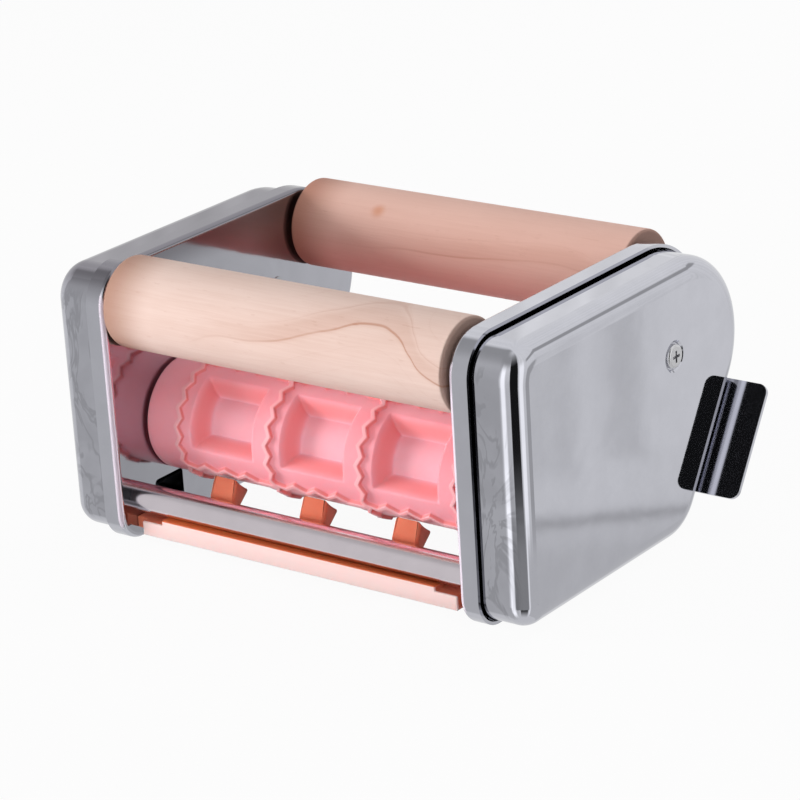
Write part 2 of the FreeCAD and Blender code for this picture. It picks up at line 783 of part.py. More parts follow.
def mount_ear():
    """The right mount ear: an angled strip riveted inside the plate."""
    tip_x = face_x + ear_reach
    leg_x = inner_x - ear_sheet
    start = ear_start()
    wing = rear_edge_prism(leg_x, tip_x, start, start + ear_height, 0.0, ear_sheet)
    wing = wing.makeFillet(ear_corner, [
        e for e in edges_at(wing, tip_x)
        if e.Length < ear_height / 2.0
    ])
    leg = rear_edge_prism(leg_x, inner_x, start, start + ear_leg_height, -ear_leg_reach, ear_sheet)
    body = wing.fuse(leg)
    for y, z in rivet_places():
        body = body.cut(rod(rivet_radius + fit_gap, leg_x, inner_x, y, z))
    return body.removeSplitter()


def ear_rivet(y, z):
    """A rivet through an ear and its plate, with a low head on each side."""
    leg_x = inner_x - ear_sheet
    wide = rivet_head_radius
    crown = rivet_crown_radius
    body = rod(rivet_radius, leg_x, web_x, y, z)
    inner_head = Part.makeCone(crown, wide, rivet_head, at(leg_x - rivet_head, y, z), X_AXIS)
    outer_head = Part.makeCone(wide, crown, rivet_head, at(web_x, y, z), X_AXIS)
    return body.fuse([inner_head, outer_head])


def cover_post():
    """A hexagonal post inside the casing that the cover's screw goes into."""
    end_x = dimple_floor_x - cover_sheet
    corner = post_across_flats / 2.0 / math.cos(math.radians(30.0))
    points = []
    for i in range(7):
        turn = math.radians(60.0 * i)
        points.append(at(web_x, screw_y + corner * math.cos(turn), screw_z + corner * math.sin(turn)))
    body = Part.Face(Part.makePolygon(points)).extrude(at(end_x - web_x, 0, 0))
    spigot = rod(post_spigot_radius, inner_x - post_spigot_proud, web_x, screw_y, screw_z)
    body = body.fuse(spigot)
    hollow_x = inner_x - post_spigot_proud
    body = body.cut(rod(post_hollow_radius, hollow_x, web_x + cut_past, screw_y, screw_z))
    return body.cut(rod(screw_radius + fit_gap, end_x - screw_length, end_x, screw_y, screw_z))


def cover_screw():
    """The cover's screw: a domed head with a cross recess."""
    head_x = dimple_floor_x + screw_head_height
    shank_x = dimple_floor_x - screw_length + cut_past
    body = rod(screw_radius, shank_x, dimple_floor_x, screw_y, screw_z)
    head = rod(screw_head_radius, dimple_floor_x, head_x, screw_y, screw_z)
    head = head.makeFillet(screw_head_round, edges_at(head, head_x))
    body = body.fuse(head)
    long = screw_cross_reach
    short = screw_cross_width / 2.0
    for dy, dz in ((long, short), (short, long)):
        cross = block(head_x - screw_recess, head_x, screw_y - dy, screw_y + dy, screw_z - dz, screw_z + dz)
        body = body.cut(cross)
    return body


def save_pair(name, shape):
    """Write a right-hand piece and its left-hand twin."""
    save("right_" + name, shape)
    save("left_" + name, mirrored(shape))


def build():
    """Make every piece and write it to its own file."""
    os.makedirs("parts", exist_ok=True)
    save_pair("side_plate", side_plate())
    save("right_cover", side_cover())
    save("left_cover", crank_cover())

    for name, y, z in (("front", front_wood_y, wood_z), ("rear", rear_wood_y, rear_wood_z)):
        save(name + "_wood_roller", wood_roller(y, z))
        save(name + "_wood_axle", wood_axle(y, z))
        save_pair(name + "_axle_washer", washer(y, z))
        save_pair(name + "_axle_clip", clip(y, z, wood_axle_radius, web_x))

    roller = ravioli_roller()
    rear_roller = roller.mirror(ORIGIN, at(0, 1, 0))
    roller.translate(at(0, front_die_y, die_z))
    rear_roller.translate(at(0, rear_die_y, die_z))
    save("front_ravioli_roller", roller)
    save("rear_ravioli_roller", rear_roller)

    front_shaft = shaft(front_die_y, -socket_floor_x())
    rear_shaft = shaft(rear_die_y, -(bush_end_x + clip_thickness + shaft_tail))
    left_groove = mirrored(clip_ring(rear_die_y, die_z, shaft_radius, bush_end_x))
    save("crank_socket", crank_socket())
    save("front_shaft", front_shaft)
    save("rear_shaft", rear_shaft.cut(left_groove))
    save("rear_shaft_left_clip", mirrored(clip(rear_die_y, die_z, shaft_radius, bush_end_x)))
    for name, y in (("front", front_die_y), ("rear", rear_die_y)):
        save_pair(name + "_bush", bush(y))
        save(name + "_gear", gear(y))
        save(name + "_gear_pin", gear_pin(y))
        save(name + "_shaft_right_clip", clip(y, die_z, shaft_radius, gear_x + gear_width))

    front = (front_die_y, front_rod_y, front_rod_height)
    rear = (rear_die_y, rear_rod_y, rear_rod_z)
    front_finger = (*front_finger_turns, front_outer_rise, front_inner_rise)
    rear_finger = (*rear_finger_turns, rear_outer_rise, rear_inner_rise)
    save("front_comb", comb(*front, -1, front_finger))
    save("rear_comb", comb(*rear, 1, rear_finger))
    for name, y, z in (("front", front_rod_y, front_rod_height), ("rear", rear_rod_y, rear_rod_z)):
        save(name + "_tie_rod", tie_rod(y, z))
        save_pair(name + "_tie_screw", tie_screw(y, z))

    save_pair("mount_ear", mount_ear())
    for name, place in zip(("upper", "lower"), rivet_places()):
        save_pair(name + "_ear_rivet", ear_rivet(*place))
    save_pair("cover_post", cover_post())
    save_pair("cover_screw", cover_screw())


build()
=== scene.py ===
# %% [markdown]
# # A hand-cranked ravioli attachment
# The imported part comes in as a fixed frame: every solid has its place and
# size already. This lesson dresses it, one finish and one piece at a time.

# %% Load the frame
import json
import math

import bmesh
import bpy
import numpy as np
from mathutils import Matrix, Vector


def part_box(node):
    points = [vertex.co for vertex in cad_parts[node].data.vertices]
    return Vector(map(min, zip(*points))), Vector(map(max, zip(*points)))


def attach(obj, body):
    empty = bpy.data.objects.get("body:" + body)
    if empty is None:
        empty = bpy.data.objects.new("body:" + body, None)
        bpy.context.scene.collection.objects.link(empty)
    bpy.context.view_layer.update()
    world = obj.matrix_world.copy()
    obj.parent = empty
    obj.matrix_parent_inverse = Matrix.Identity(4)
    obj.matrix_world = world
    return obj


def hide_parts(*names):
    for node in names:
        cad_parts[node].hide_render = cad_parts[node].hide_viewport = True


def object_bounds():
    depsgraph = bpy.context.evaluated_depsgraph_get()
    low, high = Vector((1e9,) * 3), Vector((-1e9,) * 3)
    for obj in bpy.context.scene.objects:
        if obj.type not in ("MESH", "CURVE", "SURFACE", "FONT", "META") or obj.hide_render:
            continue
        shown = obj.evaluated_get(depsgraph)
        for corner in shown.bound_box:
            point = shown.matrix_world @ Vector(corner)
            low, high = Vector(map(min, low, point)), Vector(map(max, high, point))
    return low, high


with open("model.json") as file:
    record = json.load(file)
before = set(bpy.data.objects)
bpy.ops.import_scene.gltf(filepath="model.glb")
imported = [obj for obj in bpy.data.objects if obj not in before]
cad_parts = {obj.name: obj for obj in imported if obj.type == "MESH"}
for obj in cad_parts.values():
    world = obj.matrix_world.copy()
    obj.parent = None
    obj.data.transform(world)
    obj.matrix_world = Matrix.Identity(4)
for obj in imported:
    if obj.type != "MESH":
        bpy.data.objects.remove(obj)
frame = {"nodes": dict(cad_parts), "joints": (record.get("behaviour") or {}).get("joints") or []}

cad_low, cad_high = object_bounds()
nodes = frame["nodes"]
scene = bpy.context.scene
MM = 0.001
axis_of = {j["name"]: np.array(j["pos_m"]) / MM for j in frame["joints"]}
print("solids", len(nodes), "size in mm", [round(v / MM, 1) for v in cad_high - cad_low])

# %% [markdown]
# ## Camera
# The photographer stood to the right, a little above the object, with a long
# lens. The place, the turn and the lens were fitted to the object's own
# edges, so the render and the photograph can be laid over each other.

# %% Camera at the photographer's place
camera_place = Vector((690.2, -895.773, 463.8)) * MM
camera_right = Vector((0.8034, 0.5926, -0.0573))
camera_up = Vector((-0.1625, 0.3108, 0.9365))
SENSOR = 36.0
FOCAL_PIXELS, FRAME_PIXELS = 3290.5, 800.0

camera_data = bpy.data.cameras.new("studio_camera")
camera = bpy.data.objects.new("studio_camera", camera_data)
scene.collection.objects.link(camera)
right = camera_right.normalized()
up = (camera_up - right * camera_up.dot(right)).normalized()
turn = Matrix((right, up, right.cross(up))).transposed()
camera.matrix_world = Matrix.Translation(camera_place) @ turn.to_4x4()
camera_data.sensor_width = SENSOR
camera_data.lens = SENSOR * FOCAL_PIXELS / FRAME_PIXELS
camera_data.clip_start, camera_data.clip_end = 0.05, 50.0
scene.camera = camera
print("lens in mm", round(camera_data.lens, 1))

# %% [markdown]
# ## Shader helpers
# A finish is a small graph of nodes. These helpers keep each graph short:
# one adds a node and fills its sockets, the others are common sums.

# %% Helpers for shader graphs
def colour(red, green, blue):
    """A display colour, 0 to 255, as the linear colour that a shader takes."""
    share = np.array([red, green, blue]) / 255.0
    linear = np.where(share <= 0.04045, share / 12.92, ((share + 0.055) / 1.055) ** 2.4)
    return (*[float(v) for v in linear], 1.0)


def add(tree, kind, sockets=None, **settings):
    """A node of that kind. A value in sockets is a number, a colour or another node's output."""
    made = tree.nodes.new("ShaderNode" + kind)
    for name, value in settings.items():
        setattr(made, name, value)
    for name, value in (sockets or {}).items():
        if isinstance(value, bpy.types.NodeSocket):
            tree.links.new(value, made.inputs[name])
        else:
            made.inputs[name].default_value = value
    return made


def sum_of(tree, operation, *values, clamp=False):
    """The output of one Math node with these inputs, in order."""
    made = add(tree, "Math", dict(enumerate(values)), operation=operation, use_clamp=clamp)
    return made.outputs[0]


def spread(tree, value, low, high, to_low=0.0, to_high=1.0, kind="SMOOTHSTEP"):
    """value, moved from the range low..high to to_low..to_high and held there."""
    sockets = {"Value": value, "From Min": low, "From Max": high, "To Min": to_low, "To Max": to_high}
    return add(tree, "MapRange", sockets, interpolation_type=kind).outputs[0]


def noise(tree, place, scale, detail=2.0, roughness=0.5, distortion=0.0):
    """Soft random patches, about 1 / scale metres across."""
    sockets = {"Vector": place, "Scale": scale, "Detail": detail,
               "Roughness": roughness, "Distortion": distortion}
    return add(tree, "TexNoise", sockets).outputs["Fac"]


def blend_of(tree, share, first, second):
    """A colour between two, by a share from 0 to 1."""
    made = add(tree, "Mix", data_type="RGBA")
    for socket, value in zip((made.inputs[0], made.inputs[6], made.inputs[7]), (share, first, second)):
        if isinstance(value, bpy.types.NodeSocket):
            tree.links.new(value, socket)
        else:
            socket.default_value = value
    return made.outputs[2]


def place_of(tree, move=(0, 0, 0), turn_by=(0, 0, 0), stretch=(1, 1, 1)):
    """Object coordinates, moved, turned and stretched by a Mapping node."""
    place = add(tree, "TexCoord").outputs["Object"]
    sockets = {"Vector": place, "Location": move, "Rotation": turn_by, "Scale": stretch}
    return add(tree, "Mapping", sockets).outputs[0]


def finish_of(name, **sockets):
    """A new material with one Principled shader. Returns the material, its tree and the shader."""
    material = bpy.data.materials.new(name)
    material.use_nodes = True
    tree = material.node_tree
    shader = tree.nodes["Principled BSDF"]
    for key, value in sockets.items():
        shader.inputs[key.replace("_", " ")].default_value = value
    return material, tree, shader


def raise_by(tree, shader, height, distance, strength=1.0):
    """Bump: the surface looks raised by height times distance, in metres."""
    bump = add(tree, "Bump", {"Height": height, "Distance": distance, "Strength": strength})
    tree.links.new(bump.outputs[0], shader.inputs["Normal"])

# %% [markdown]
# ## Floor, room and lamps
# Polished steel has no colour of its own: it shows the room. So the room is
# planned first, as zones of one tone each, named by their bearing (0 is
# straight in front of the object, 90 to its right) and their slope. A dark
# zone behind the camera and a bright panel on each side of it give the drawn
# edges their black line between two white ones.

# %% The room that polished steel sees
def window(tree, value, middle, half, soft):
    """1 where value is within half of middle, falling to 0 over soft more."""
    away = sum_of(tree, "ABSOLUTE", sum_of(tree, "SUBTRACT", value, middle))
    return spread(tree, away, half, half + soft, 1.0, 0.0)


world = bpy.data.worlds.new("studio_room")
scene.world = world
world.use_nodes = True
room = world.node_tree
background = room.nodes["Background"]
direction = add(room, "SeparateXYZ", {"Vector": add(room, "TexCoord").outputs["Generated"]})
east, north, height = direction.outputs
bearing = sum_of(room, "DEGREES", sum_of(room, "ARCTAN2", east, sum_of(room, "MULTIPLY", north, -1.0)))
slope = sum_of(room, "DEGREES", sum_of(room, "ARCSINE", height))
# What stands behind the object leans a little, so its level lines do too.
slope = sum_of(room, "ADD", slope, spread(room, bearing, 144.6, 148.4, 0.25, 0.02, "LINEAR"))

# Each zone: bearing, half width, soft edge, slope, half height, soft edge, tone.
ZONES = (
    (-45.0, 19.0, 6.0, -5.0, 50.0, 25.0, 0.62),
    (-15.0, 80.0, 20.0, 62.0, 6.0, 28.0, 0.42),
    (51.5, 19.0, 4.0, 5.0, 34.0, 42.0, 0.012),
    (40.0, 50.0, 4.0, -27.5, 4.5, 2.0, 0.33),
    (-6.0, 6.0, 11.0, -12.0, 30.0, 30.0, 1.7),
    (90.0, 7.0, 8.0, -12.0, 30.0, 22.0, 1.35),
    (128.0, 8.0, 6.0, -16.0, 12.0, 8.0, 0.50),
    (140.0, 25.0, 10.0, 25.0, 2.5, 3.5, 0.45),
    (150.0, 60.0, 10.0, -40.0, 17.0, 1.0, 0.66),
    (144.80, 0.08, 0.12, -19.3, 2.0, 0.5, 0.71),
    (145.40, 0.16, 0.14, -19.3, 2.0, 0.5, 0.71),
    (147.25, 0.95, 0.12, -19.8, 1.35, 0.25, 0.68),
    (148.25, 1.25, 0.30, -19.3, 1.75, 0.50, 0.87),
    (146.4, 3.0, 1.5, -22.30, 0.03, 0.11, 0.44),
)
tone = spread(room, slope, -60.0, 60.0, 0.79, 0.97)
FOLDS = {"W": bearing, "Scale": 1.5, "Detail": 2.0}
DRAPES = {"W": bearing, "Scale": 0.16, "Detail": 1.0}
folds = add(room, "TexNoise", FOLDS, noise_dimensions="1D").outputs["Fac"]
drapes = add(room, "TexNoise", DRAPES, noise_dimensions="1D").outputs["Fac"]
above = spread(room, slope, -21.55, -21.25)
folds = sum_of(room, "MULTIPLY", spread(room, folds, 0.3, 0.7, -0.10, 0.08, "LINEAR"), above)
drapes = spread(room, drapes, 0.2, 0.8, -0.05, 0.05, "LINEAR")
tone = sum_of(room, "ADD", tone, sum_of(room, "ADD", folds, drapes))
for middle, half, soft, level_slope, tall, tall_soft, level in ZONES:
    share = sum_of(room, "MULTIPLY", window(room, bearing, middle, half, soft),
                   window(room, slope, level_slope, tall, tall_soft))
    tone = sum_of(room, "MULTIPLY_ADD", share, sum_of(room, "SUBTRACT", level, tone), tone)

# %% White for the camera, the zones for reflections, an even fill for the rest
FILL = 0.25
path = add(room, "LightPath").outputs
clear = sum_of(room, "MAXIMUM", path["Is Camera Ray"], path["Is Transmission Ray"])
seen = add(room, "Mix", {"A": FILL, "B": 1.0}, data_type="FLOAT")
room.links.new(clear, seen.inputs["Factor"])
strength = add(room, "Mix", data_type="FLOAT")
room.links.new(path["Is Glossy Ray"], strength.inputs["Factor"])
room.links.new(seen.outputs[0], strength.inputs["A"])
room.links.new(tone, strength.inputs["B"])
room.links.new(strength.outputs[0], background.inputs["Strength"])
background.inputs["Color"].default_value = (1.0, 1.0, 1.0, 1.0)
print("the room has", len(room.nodes), "nodes")

# %% A pale floor
FLOOR_HALF = 6.0
floor_mesh = bpy.data.meshes.new("floor")
corners = [(-FLOOR_HALF, -FLOOR_HALF, 0), (FLOOR_HALF, -FLOOR_HALF, 0),
           (FLOOR_HALF, FLOOR_HALF, 0), (-FLOOR_HALF, FLOOR_HALF, 0)]
floor_mesh.from_pydata(corners, [], [(0, 1, 2, 3)])
floor = bpy.data.objects.new("floor", floor_mesh)
scene.collection.objects.link(floor)
floor.visible_glossy = False

floor_finish, tree, shader = finish_of("floor_paper", Base_Color=colour(205, 203, 205), Roughness=0.9)
shader.inputs["Specular IOR Level"].default_value = 0.0
glow = add(tree, "Emission", {"Color": (1, 1, 1, 1), "Strength": 1.0})
seen = add(tree, "LightPath").outputs
seen = sum_of(tree, "MAXIMUM", seen["Is Camera Ray"], seen["Is Transmission Ray"])
SHADOW_SHARE = 0.05
mixed = add(tree, "MixShader", {0: sum_of(tree, "MULTIPLY", seen, 1.0 - SHADOW_SHARE),
                                1: shader.outputs[0], 2: glow.outputs[0]})
tree.links.new(mixed.outputs[0], tree.nodes["Material Output"].inputs["Surface"])
floor.data.materials.append(floor_finish)

# %% Lamps
def softbox(name, bearing_of, slope_of, distance, size, watts):
    """A square lamp that looks at the object from a bearing and a slope, in degrees."""
    a, e = math.radians(bearing_of), math.radians(slope_of)
    out = Vector((math.sin(a) * math.cos(e), -math.cos(a) * math.cos(e), math.sin(e)))
    data = bpy.data.lights.new(name, "AREA")
    data.shape, data.size, data.energy = "SQUARE", size, watts
    lamp = bpy.data.objects.new(name, data)
    lamp.matrix_world = (Matrix.Translation(out * distance + Vector((0, 0, 0.05)))
                         @ out.to_track_quat("Z", "Y").to_matrix().to_4x4())
    scene.collection.objects.link(lamp)
    lamp.visible_camera = lamp.visible_glossy = False
    return lamp


softbox("lamp_left", -60.0, 9.0, 1.3, 0.5, 17.0)
softbox("lamp_front", 0.0, 8.0, 1.3, 0.6, 4.8)
softbox("lamp_back", 172.0, 22.0, 1.3, 0.6, 4.0)
softbox("lamp_right", 55.0, 24.0, 0.7, 0.4, 0.7)
softbox("lamp_over", 150.0, 74.0, 1.3, 0.9, 4.5)

scene.view_settings.view_transform = "Standard"

# %% [markdown]
# ## Steel
# Stainless sheet is bright grey. What tells it from grey paint is how its
# gloss changes: hairlines from the mill, and slow waves that bend what it
# reflects. The waves are bump, since they are far thinner than the sheet.

# %% Steel finishes
STEEL = (0.595, 0.60, 0.655, 1.0)


def steel(name, roughness, wave, base=STEEL, hairline=0.15, veins=0.0, edge=0.0):
    """Stainless steel: hairlines along X or the sheet, and waves 20 to 60 mm long.

    veins darkens thin wandering lines on the front walls. edge paints a highlight on the folds at the front,
    which also lose some of their metal, and paints shade on the faces that look inward. Painted shade darkens
    the left casing's top in every steel.
    """
    material, tree, shader = finish_of(name, Metallic=1.0)
    place = place_of(tree)
    slow = noise(tree, place, 26.0, 2.0, 0.5, 0.8)
    cloud = noise(tree, place, 60.0, 4.0, 0.65)
    fine = noise(tree, place_of(tree, stretch=(1.0, 1.0, 0.06)), 2600.0, 2.0, 0.7)
    tint = blend_of(tree, spread(tree, cloud, 0.3, 0.75), tuple(0.94 * v for v in base[:3]) + (1,), base)
    x, y, z = add(tree, "SeparateXYZ", {"Vector": place}).outputs
    at_front = spread(tree, y, float(cad_low[1]) + 4.0 * MM, float(cad_low[1]) + 6.0 * MM, 1.0, 0.0)
    if veins:
        wander = noise(tree, place_of(tree, stretch=(1.6, 1.0, 0.8)), 42.0, 3.0, 0.6, 1.2)
        line = window(tree, wander, 0.5, 0.004, 0.06)
        patch = spread(tree, noise(tree, place, 35.0, 3.0, 0.6, 0.6), 0.35, 0.65, 0.15, 0.6)
        share = sum_of(tree, "MULTIPLY", sum_of(tree, "MAXIMUM", line, patch),
                       sum_of(tree, "MULTIPLY", at_front, veins))
        tint = blend_of(tree, share, tint, tuple(0.5 * v for v in base[:3]) + (1,))
    # Painted shade: the left casing's top is darkened in the base colour of every steel.
    painted_top_shade = sum_of(tree, "MULTIPLY", spread(tree, x, -74.0 * MM, -70.0 * MM, 1.0, 0.0),
                  spread(tree, z, 92.0 * MM, 104.0 * MM))
    tint = blend_of(tree, painted_top_shade, tint, (0.25, 0.24, 0.27, 1.0))
    if edge:
        # Painted shade: the plates' faces that look inward are darkened.
        painted_inner_shade = window(tree, sum_of(tree, "ABSOLUTE", x), 76.0 * MM, 0.2 * MM, 0.1 * MM)
        tint = blend_of(tree, sum_of(tree, "MULTIPLY", painted_inner_shade, 0.4), tint, (0.34, 0.34, 0.37, 1.0))
        # Painted highlight: the folds at the front are painted pale, and less metallic.
        painted_fold_highlight = window(tree, sum_of(tree, "ABSOLUTE", x), 76.9 * MM, 0.7 * MM, 0.5 * MM)
        low_fold = spread(tree, y, float(cad_low[1]) + 2.6 * MM, float(cad_low[1]) + 3.4 * MM, 1.0, 0.0)
        painted_fold_highlight = sum_of(tree, "MULTIPLY", painted_fold_highlight, low_fold)
        tint = blend_of(tree, painted_fold_highlight, tint, (0.80, 0.72, 0.82, 1.0))
        tree.links.new(sum_of(tree, "MULTIPLY_ADD", painted_fold_highlight, -edge, 1.0), shader.inputs["Metallic"])
    tree.links.new(tint, shader.inputs["Base Color"])
    rough = sum_of(tree, "MULTIPLY_ADD", cloud, 0.10 * hairline / 0.15, roughness)
    rough = sum_of(tree, "MULTIPLY_ADD", fine, hairline * 0.4, rough)
    tree.links.new(rough, shader.inputs["Roughness"])
    height = sum_of(tree, "MULTIPLY_ADD", fine, 0.004 * hairline / 0.15, sum_of(tree, "MULTIPLY", slow, wave))
    raise_by(tree, shader, height, 0.001)
    return material


finishes = {
    "polished_steel": steel("polished_steel", 0.06, 0.10, hairline=0.04, edge=0.85),
    "satin_steel": steel("satin_steel", 0.03, 0.018, hairline=0.015, veins=0.55),
    "mirror_steel": steel("mirror_steel", 0.07, 0.02, hairline=0.03),
    "plain_steel": steel("plain_steel", 0.14, 0.05, (0.50, 0.51, 0.54, 1), 0.1),
    "spring_steel": steel("spring_steel", 0.30, 0.1, (0.16, 0.16, 0.18, 1), 0.1),
    "gear_steel": steel("gear_steel", 0.38, 0.1, (0.34, 0.34, 0.35, 1), 0.1),
    "plated_rod": steel("plated_rod", 0.16, 0.02, (0.86, 0.79, 0.84, 1), 0.08),
    "plated_screw": steel("plated_screw", 0.25, 0.05, (0.70, 0.70, 0.72, 1), 0.08),
}
print("steel finishes", sorted(finishes))

# %% [markdown]
# ## Wood
# Beech is sawn from a plank, and its growth rings are nearly flat sheets in so
# small a piece. A curve says how high a sheet lies along the roller, so the
# rings rise and fall as one long wave. Each ring ends in a thin darker line,
# and fine fibres and flecks lie along the roller.

# %% Beech finishes
# A sheet's height along the roller: place and height as shares of the curve's square.
WAVE_POINTS = ((0.0, 0.37), (0.22, 0.27), (0.36, 0.46), (0.45, 0.48), (0.67, 0.81),
               (0.80, 0.97), (0.84, 0.93), (0.90, 0.70), (0.94, 0.48), (1.0, 0.34))
WAVE_HALF, WAVE_TALL = 76.0, 13.5
RING_SPACING, RING_OFFSET = 7.2, 1.02


def wave_along(tree, along):
    """How high the rings lie at a place along the roller, in metres, read from a smooth curve."""
    share = spread(tree, along, -WAVE_HALF * MM, WAVE_HALF * MM, 0.0, 1.0, "LINEAR")
    made = add(tree, "FloatCurve", {"Value": share})
    curve = made.mapping.curves[0]
    curve.points[0].location, curve.points[1].location = WAVE_POINTS[0], WAVE_POINTS[-1]
    for place, height in WAVE_POINTS[1:-1]:
        curve.points.new(place, height)
    made.mapping.update()
    return spread(tree, made.outputs[0], 0.0, 1.0, -WAVE_TALL * MM, WAVE_TALL * MM, "LINEAR")


def beech(name, axis, pale, dark, wave, contrast, knot=None):
    """Rings are sheets: u = height - the wave's height + a share of the depth + noise."""
    material, tree, shader = finish_of(name, Roughness=0.6)
    move = (0.0, -axis[1] * MM, -axis[2] * MM)
    place = place_of(tree, move)
    along, depth, height = add(tree, "SeparateXYZ", {"Vector": place}).outputs
    slow = noise(tree, place_of(tree, move, stretch=(0.25, 1.0, 1.0)), 28.0, 2.0, 0.55)
    u = sum_of(tree, "MULTIPLY_ADD", wave_along(tree, along), -wave, height)
    u = sum_of(tree, "MULTIPLY_ADD", depth, 0.22, u)
    u = sum_of(tree, "MULTIPLY_ADD", slow, 3.5 * MM, u)
    level = sum_of(tree, "MULTIPLY_ADD", u, 1.0 / (RING_SPACING * MM), RING_OFFSET)
    ring = sum_of(tree, "FRACT", level)
    # One year's ring is drawn strongest: a warm band between two thin lines, clear to the right.
    clear = spread(tree, along, -45.0 * MM, 0.0, 0.05, 1.0)
    upper, lower = window(tree, level, 1.9, 0.01, 0.05), window(tree, level, 1.0, 0.02, 0.06)
    main = sum_of(tree, "MULTIPLY_ADD", upper, 0.45, lower)
    main = sum_of(tree, "MULTIPLY", main, clear)
    late = sum_of(tree, "MULTIPLY_ADD", sum_of(tree, "POWER", ring, 22.0), 0.22, main)
    band = sum_of(tree, "MULTIPLY", window(tree, level, 1.35, 0.25, 0.35), clear)
    fibre = noise(tree, place_of(tree, move, stretch=(0.03, 1.0, 1.0)), 1100.0, 3.0, 0.7)
    fleck = spread(tree, noise(tree, place_of(tree, move, stretch=(0.2, 1.0, 1.0)), 900.0, 1.0), 0.68, 0.78)
    cloudy = noise(tree, place_of(tree, move, stretch=(0.35, 1.0, 1.0)), 40.0, 3.0, 0.6)
    patchy = noise(tree, place_of(tree, move, (7, 3, 1), (0.3, 1.0, 1.0)), 26.0)
    patchy = spread(tree, patchy, 0.38, 0.56, 0.35, 1.0)
    share = sum_of(tree, "MULTIPLY", sum_of(tree, "MULTIPLY", late, patchy), 0.85 * contrast)
    share = sum_of(tree, "MULTIPLY_ADD", band, 0.34 * contrast, share)
    share = sum_of(tree, "MULTIPLY_ADD", sum_of(tree, "SUBTRACT", fibre, 0.45), 0.65 * contrast, share)
    share = sum_of(tree, "MULTIPLY_ADD", fleck, 0.22 * contrast, share)
    cloudy = sum_of(tree, "SUBTRACT", cloudy, 0.4)
    share = sum_of(tree, "MULTIPLY_ADD", cloudy, 0.9 * contrast, share, clamp=True)
    tint = blend_of(tree, share, pale, dark)
    if knot:
        away = add(tree, "VectorMath", {0: place, 1: knot}, operation="SUBTRACT").outputs[0]
        away = add(tree, "VectorMath", {0: away, 1: (0.8, 1.0, 0.5)}, operation="MULTIPLY").outputs[0]
        away = add(tree, "VectorMath", {0: away}, operation="LENGTH").outputs["Value"]
        ragged = sum_of(tree, "MULTIPLY_ADD", slow, 2.0 * MM, away)
        tint = blend_of(tree, spread(tree, ragged, 1.2 * MM, 4.4 * MM, 0.6, 0.0), tint, colour(206, 132, 92))
    # The left end is darkened here: in the photograph it lies in the casing's shade.
    painted_end_shade = spread(tree, along, -74.0 * MM, -52.0 * MM, 0.85, 0.0)
    tint = blend_of(tree, painted_end_shade, tint, tuple(0.78 * v for v in dark[:3]) + (1,))
    end = spread(tree, sum_of(tree, "ABSOLUTE", along), 73.6 * MM, 74.3 * MM, 0.0, 0.62)
    tint = blend_of(tree, end, tint, colour(112, 76, 62))
    tree.links.new(tint, shader.inputs["Base Color"])
    grain = sum_of(tree, "MULTIPLY_ADD", fleck, -0.6, fibre)
    raise_by(tree, shader, grain, 0.00006)
    return material


finishes["beech_front"] = beech("beech_front", axis_of["front_wood_spin"], colour(229, 203, 192),
                                colour(190, 140, 118), 1.0, 0.62)
finishes["beech_rear"] = beech("beech_rear", axis_of["rear_wood_spin"], colour(230, 188, 174),
                               colour(192, 130, 108), 0.3, 0.42, (-36.0 * MM, -11.4 * MM, 12.6 * MM))

# %% [markdown]
# ## Plastics
# Moulded plastic takes a soft sheen and lets a little light in, so its edges
# glow. A faint mottle keeps it from looking painted.

# %% Plastic finishes
def plastic(name, base, mottled, roughness, depth=0.0, weight=0.0, recolour=None):
    """Moulded plastic: slow mottling, fine texture, and light that travels depth metres inside."""
    material, tree, shader = finish_of(name, Roughness=roughness, Subsurface_Weight=weight)
    shader.inputs["Subsurface Radius"].default_value = (1.0, 0.35, 0.3)
    shader.inputs["Subsurface Scale"].default_value = depth
    place = place_of(tree)
    slow = noise(tree, place, 45.0, 2.0)
    tint = blend_of(tree, spread(tree, slow, 0.3, 0.7), base, mottled)
    if recolour:
        tint = recolour(tree, tint)
    tree.links.new(tint, shader.inputs["Base Color"])
    fine = noise(tree, place, 1500.0, 2.0)
    raise_by(tree, shader, fine, 0.00003)
    return material


def painted_ridge_light(tree, tint):
    """Painted shade and light, by how far each place rises or sinks: slopes and pocket walls take painted
    shade, crests and pocket floors painted light.
    """
    rise = add(tree, "Attribute", attribute_name="rise").outputs["Fac"]
    # Painted shade on the ridge slopes and pocket walls, painted light on the pocket floors and the crests.
    tint = blend_of(tree, window(tree, rise, 0.45, 0.2, 0.25), tint, colour(244, 146, 146))
    tint = blend_of(tree, window(tree, rise, -0.5, 0.1, 0.45), tint, colour(247, 148, 152))
    tint = blend_of(tree, spread(tree, rise, -1.0, -0.85, 1.0, 0.0), tint, colour(255, 182, 194))
    return blend_of(tree, spread(tree, rise, 0.7, 1.0, 0.0, 0.6), tint, colour(255, 190, 192))


def painted_comb_light(tree, tint):
    """Painted light on a comb: its outer front face is painted pale, as a painted highlight where light skims
    it, below painted orange shade along the top edge.
    """
    x, y, z = add(tree, "SeparateXYZ", {"Vector": place_of(tree)}).outputs
    low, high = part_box("front_comb")
    # Painted highlight: the outer front face is painted pale.
    pale = spread(tree, y, float(low[1]) + 0.5 * MM, float(low[1]) + 0.9 * MM, 1.0, 0.0)
    top = float(low[2]) + BAR_TALL * MM
    pale = sum_of(tree, "MULTIPLY", pale, spread(tree, z, top - 0.45 * MM, top - 0.25 * MM, 1.0, 0.0))
    # Painted shade: an orange band along the bar's top edge.
    painted_top_edge_shade = window(tree, z, top, 0.2 * MM, 0.2 * MM)
    tint = blend_of(tree, painted_top_edge_shade, tint, colour(206, 104, 58))
    return blend_of(tree, pale, tint, colour(241, 211, 207))


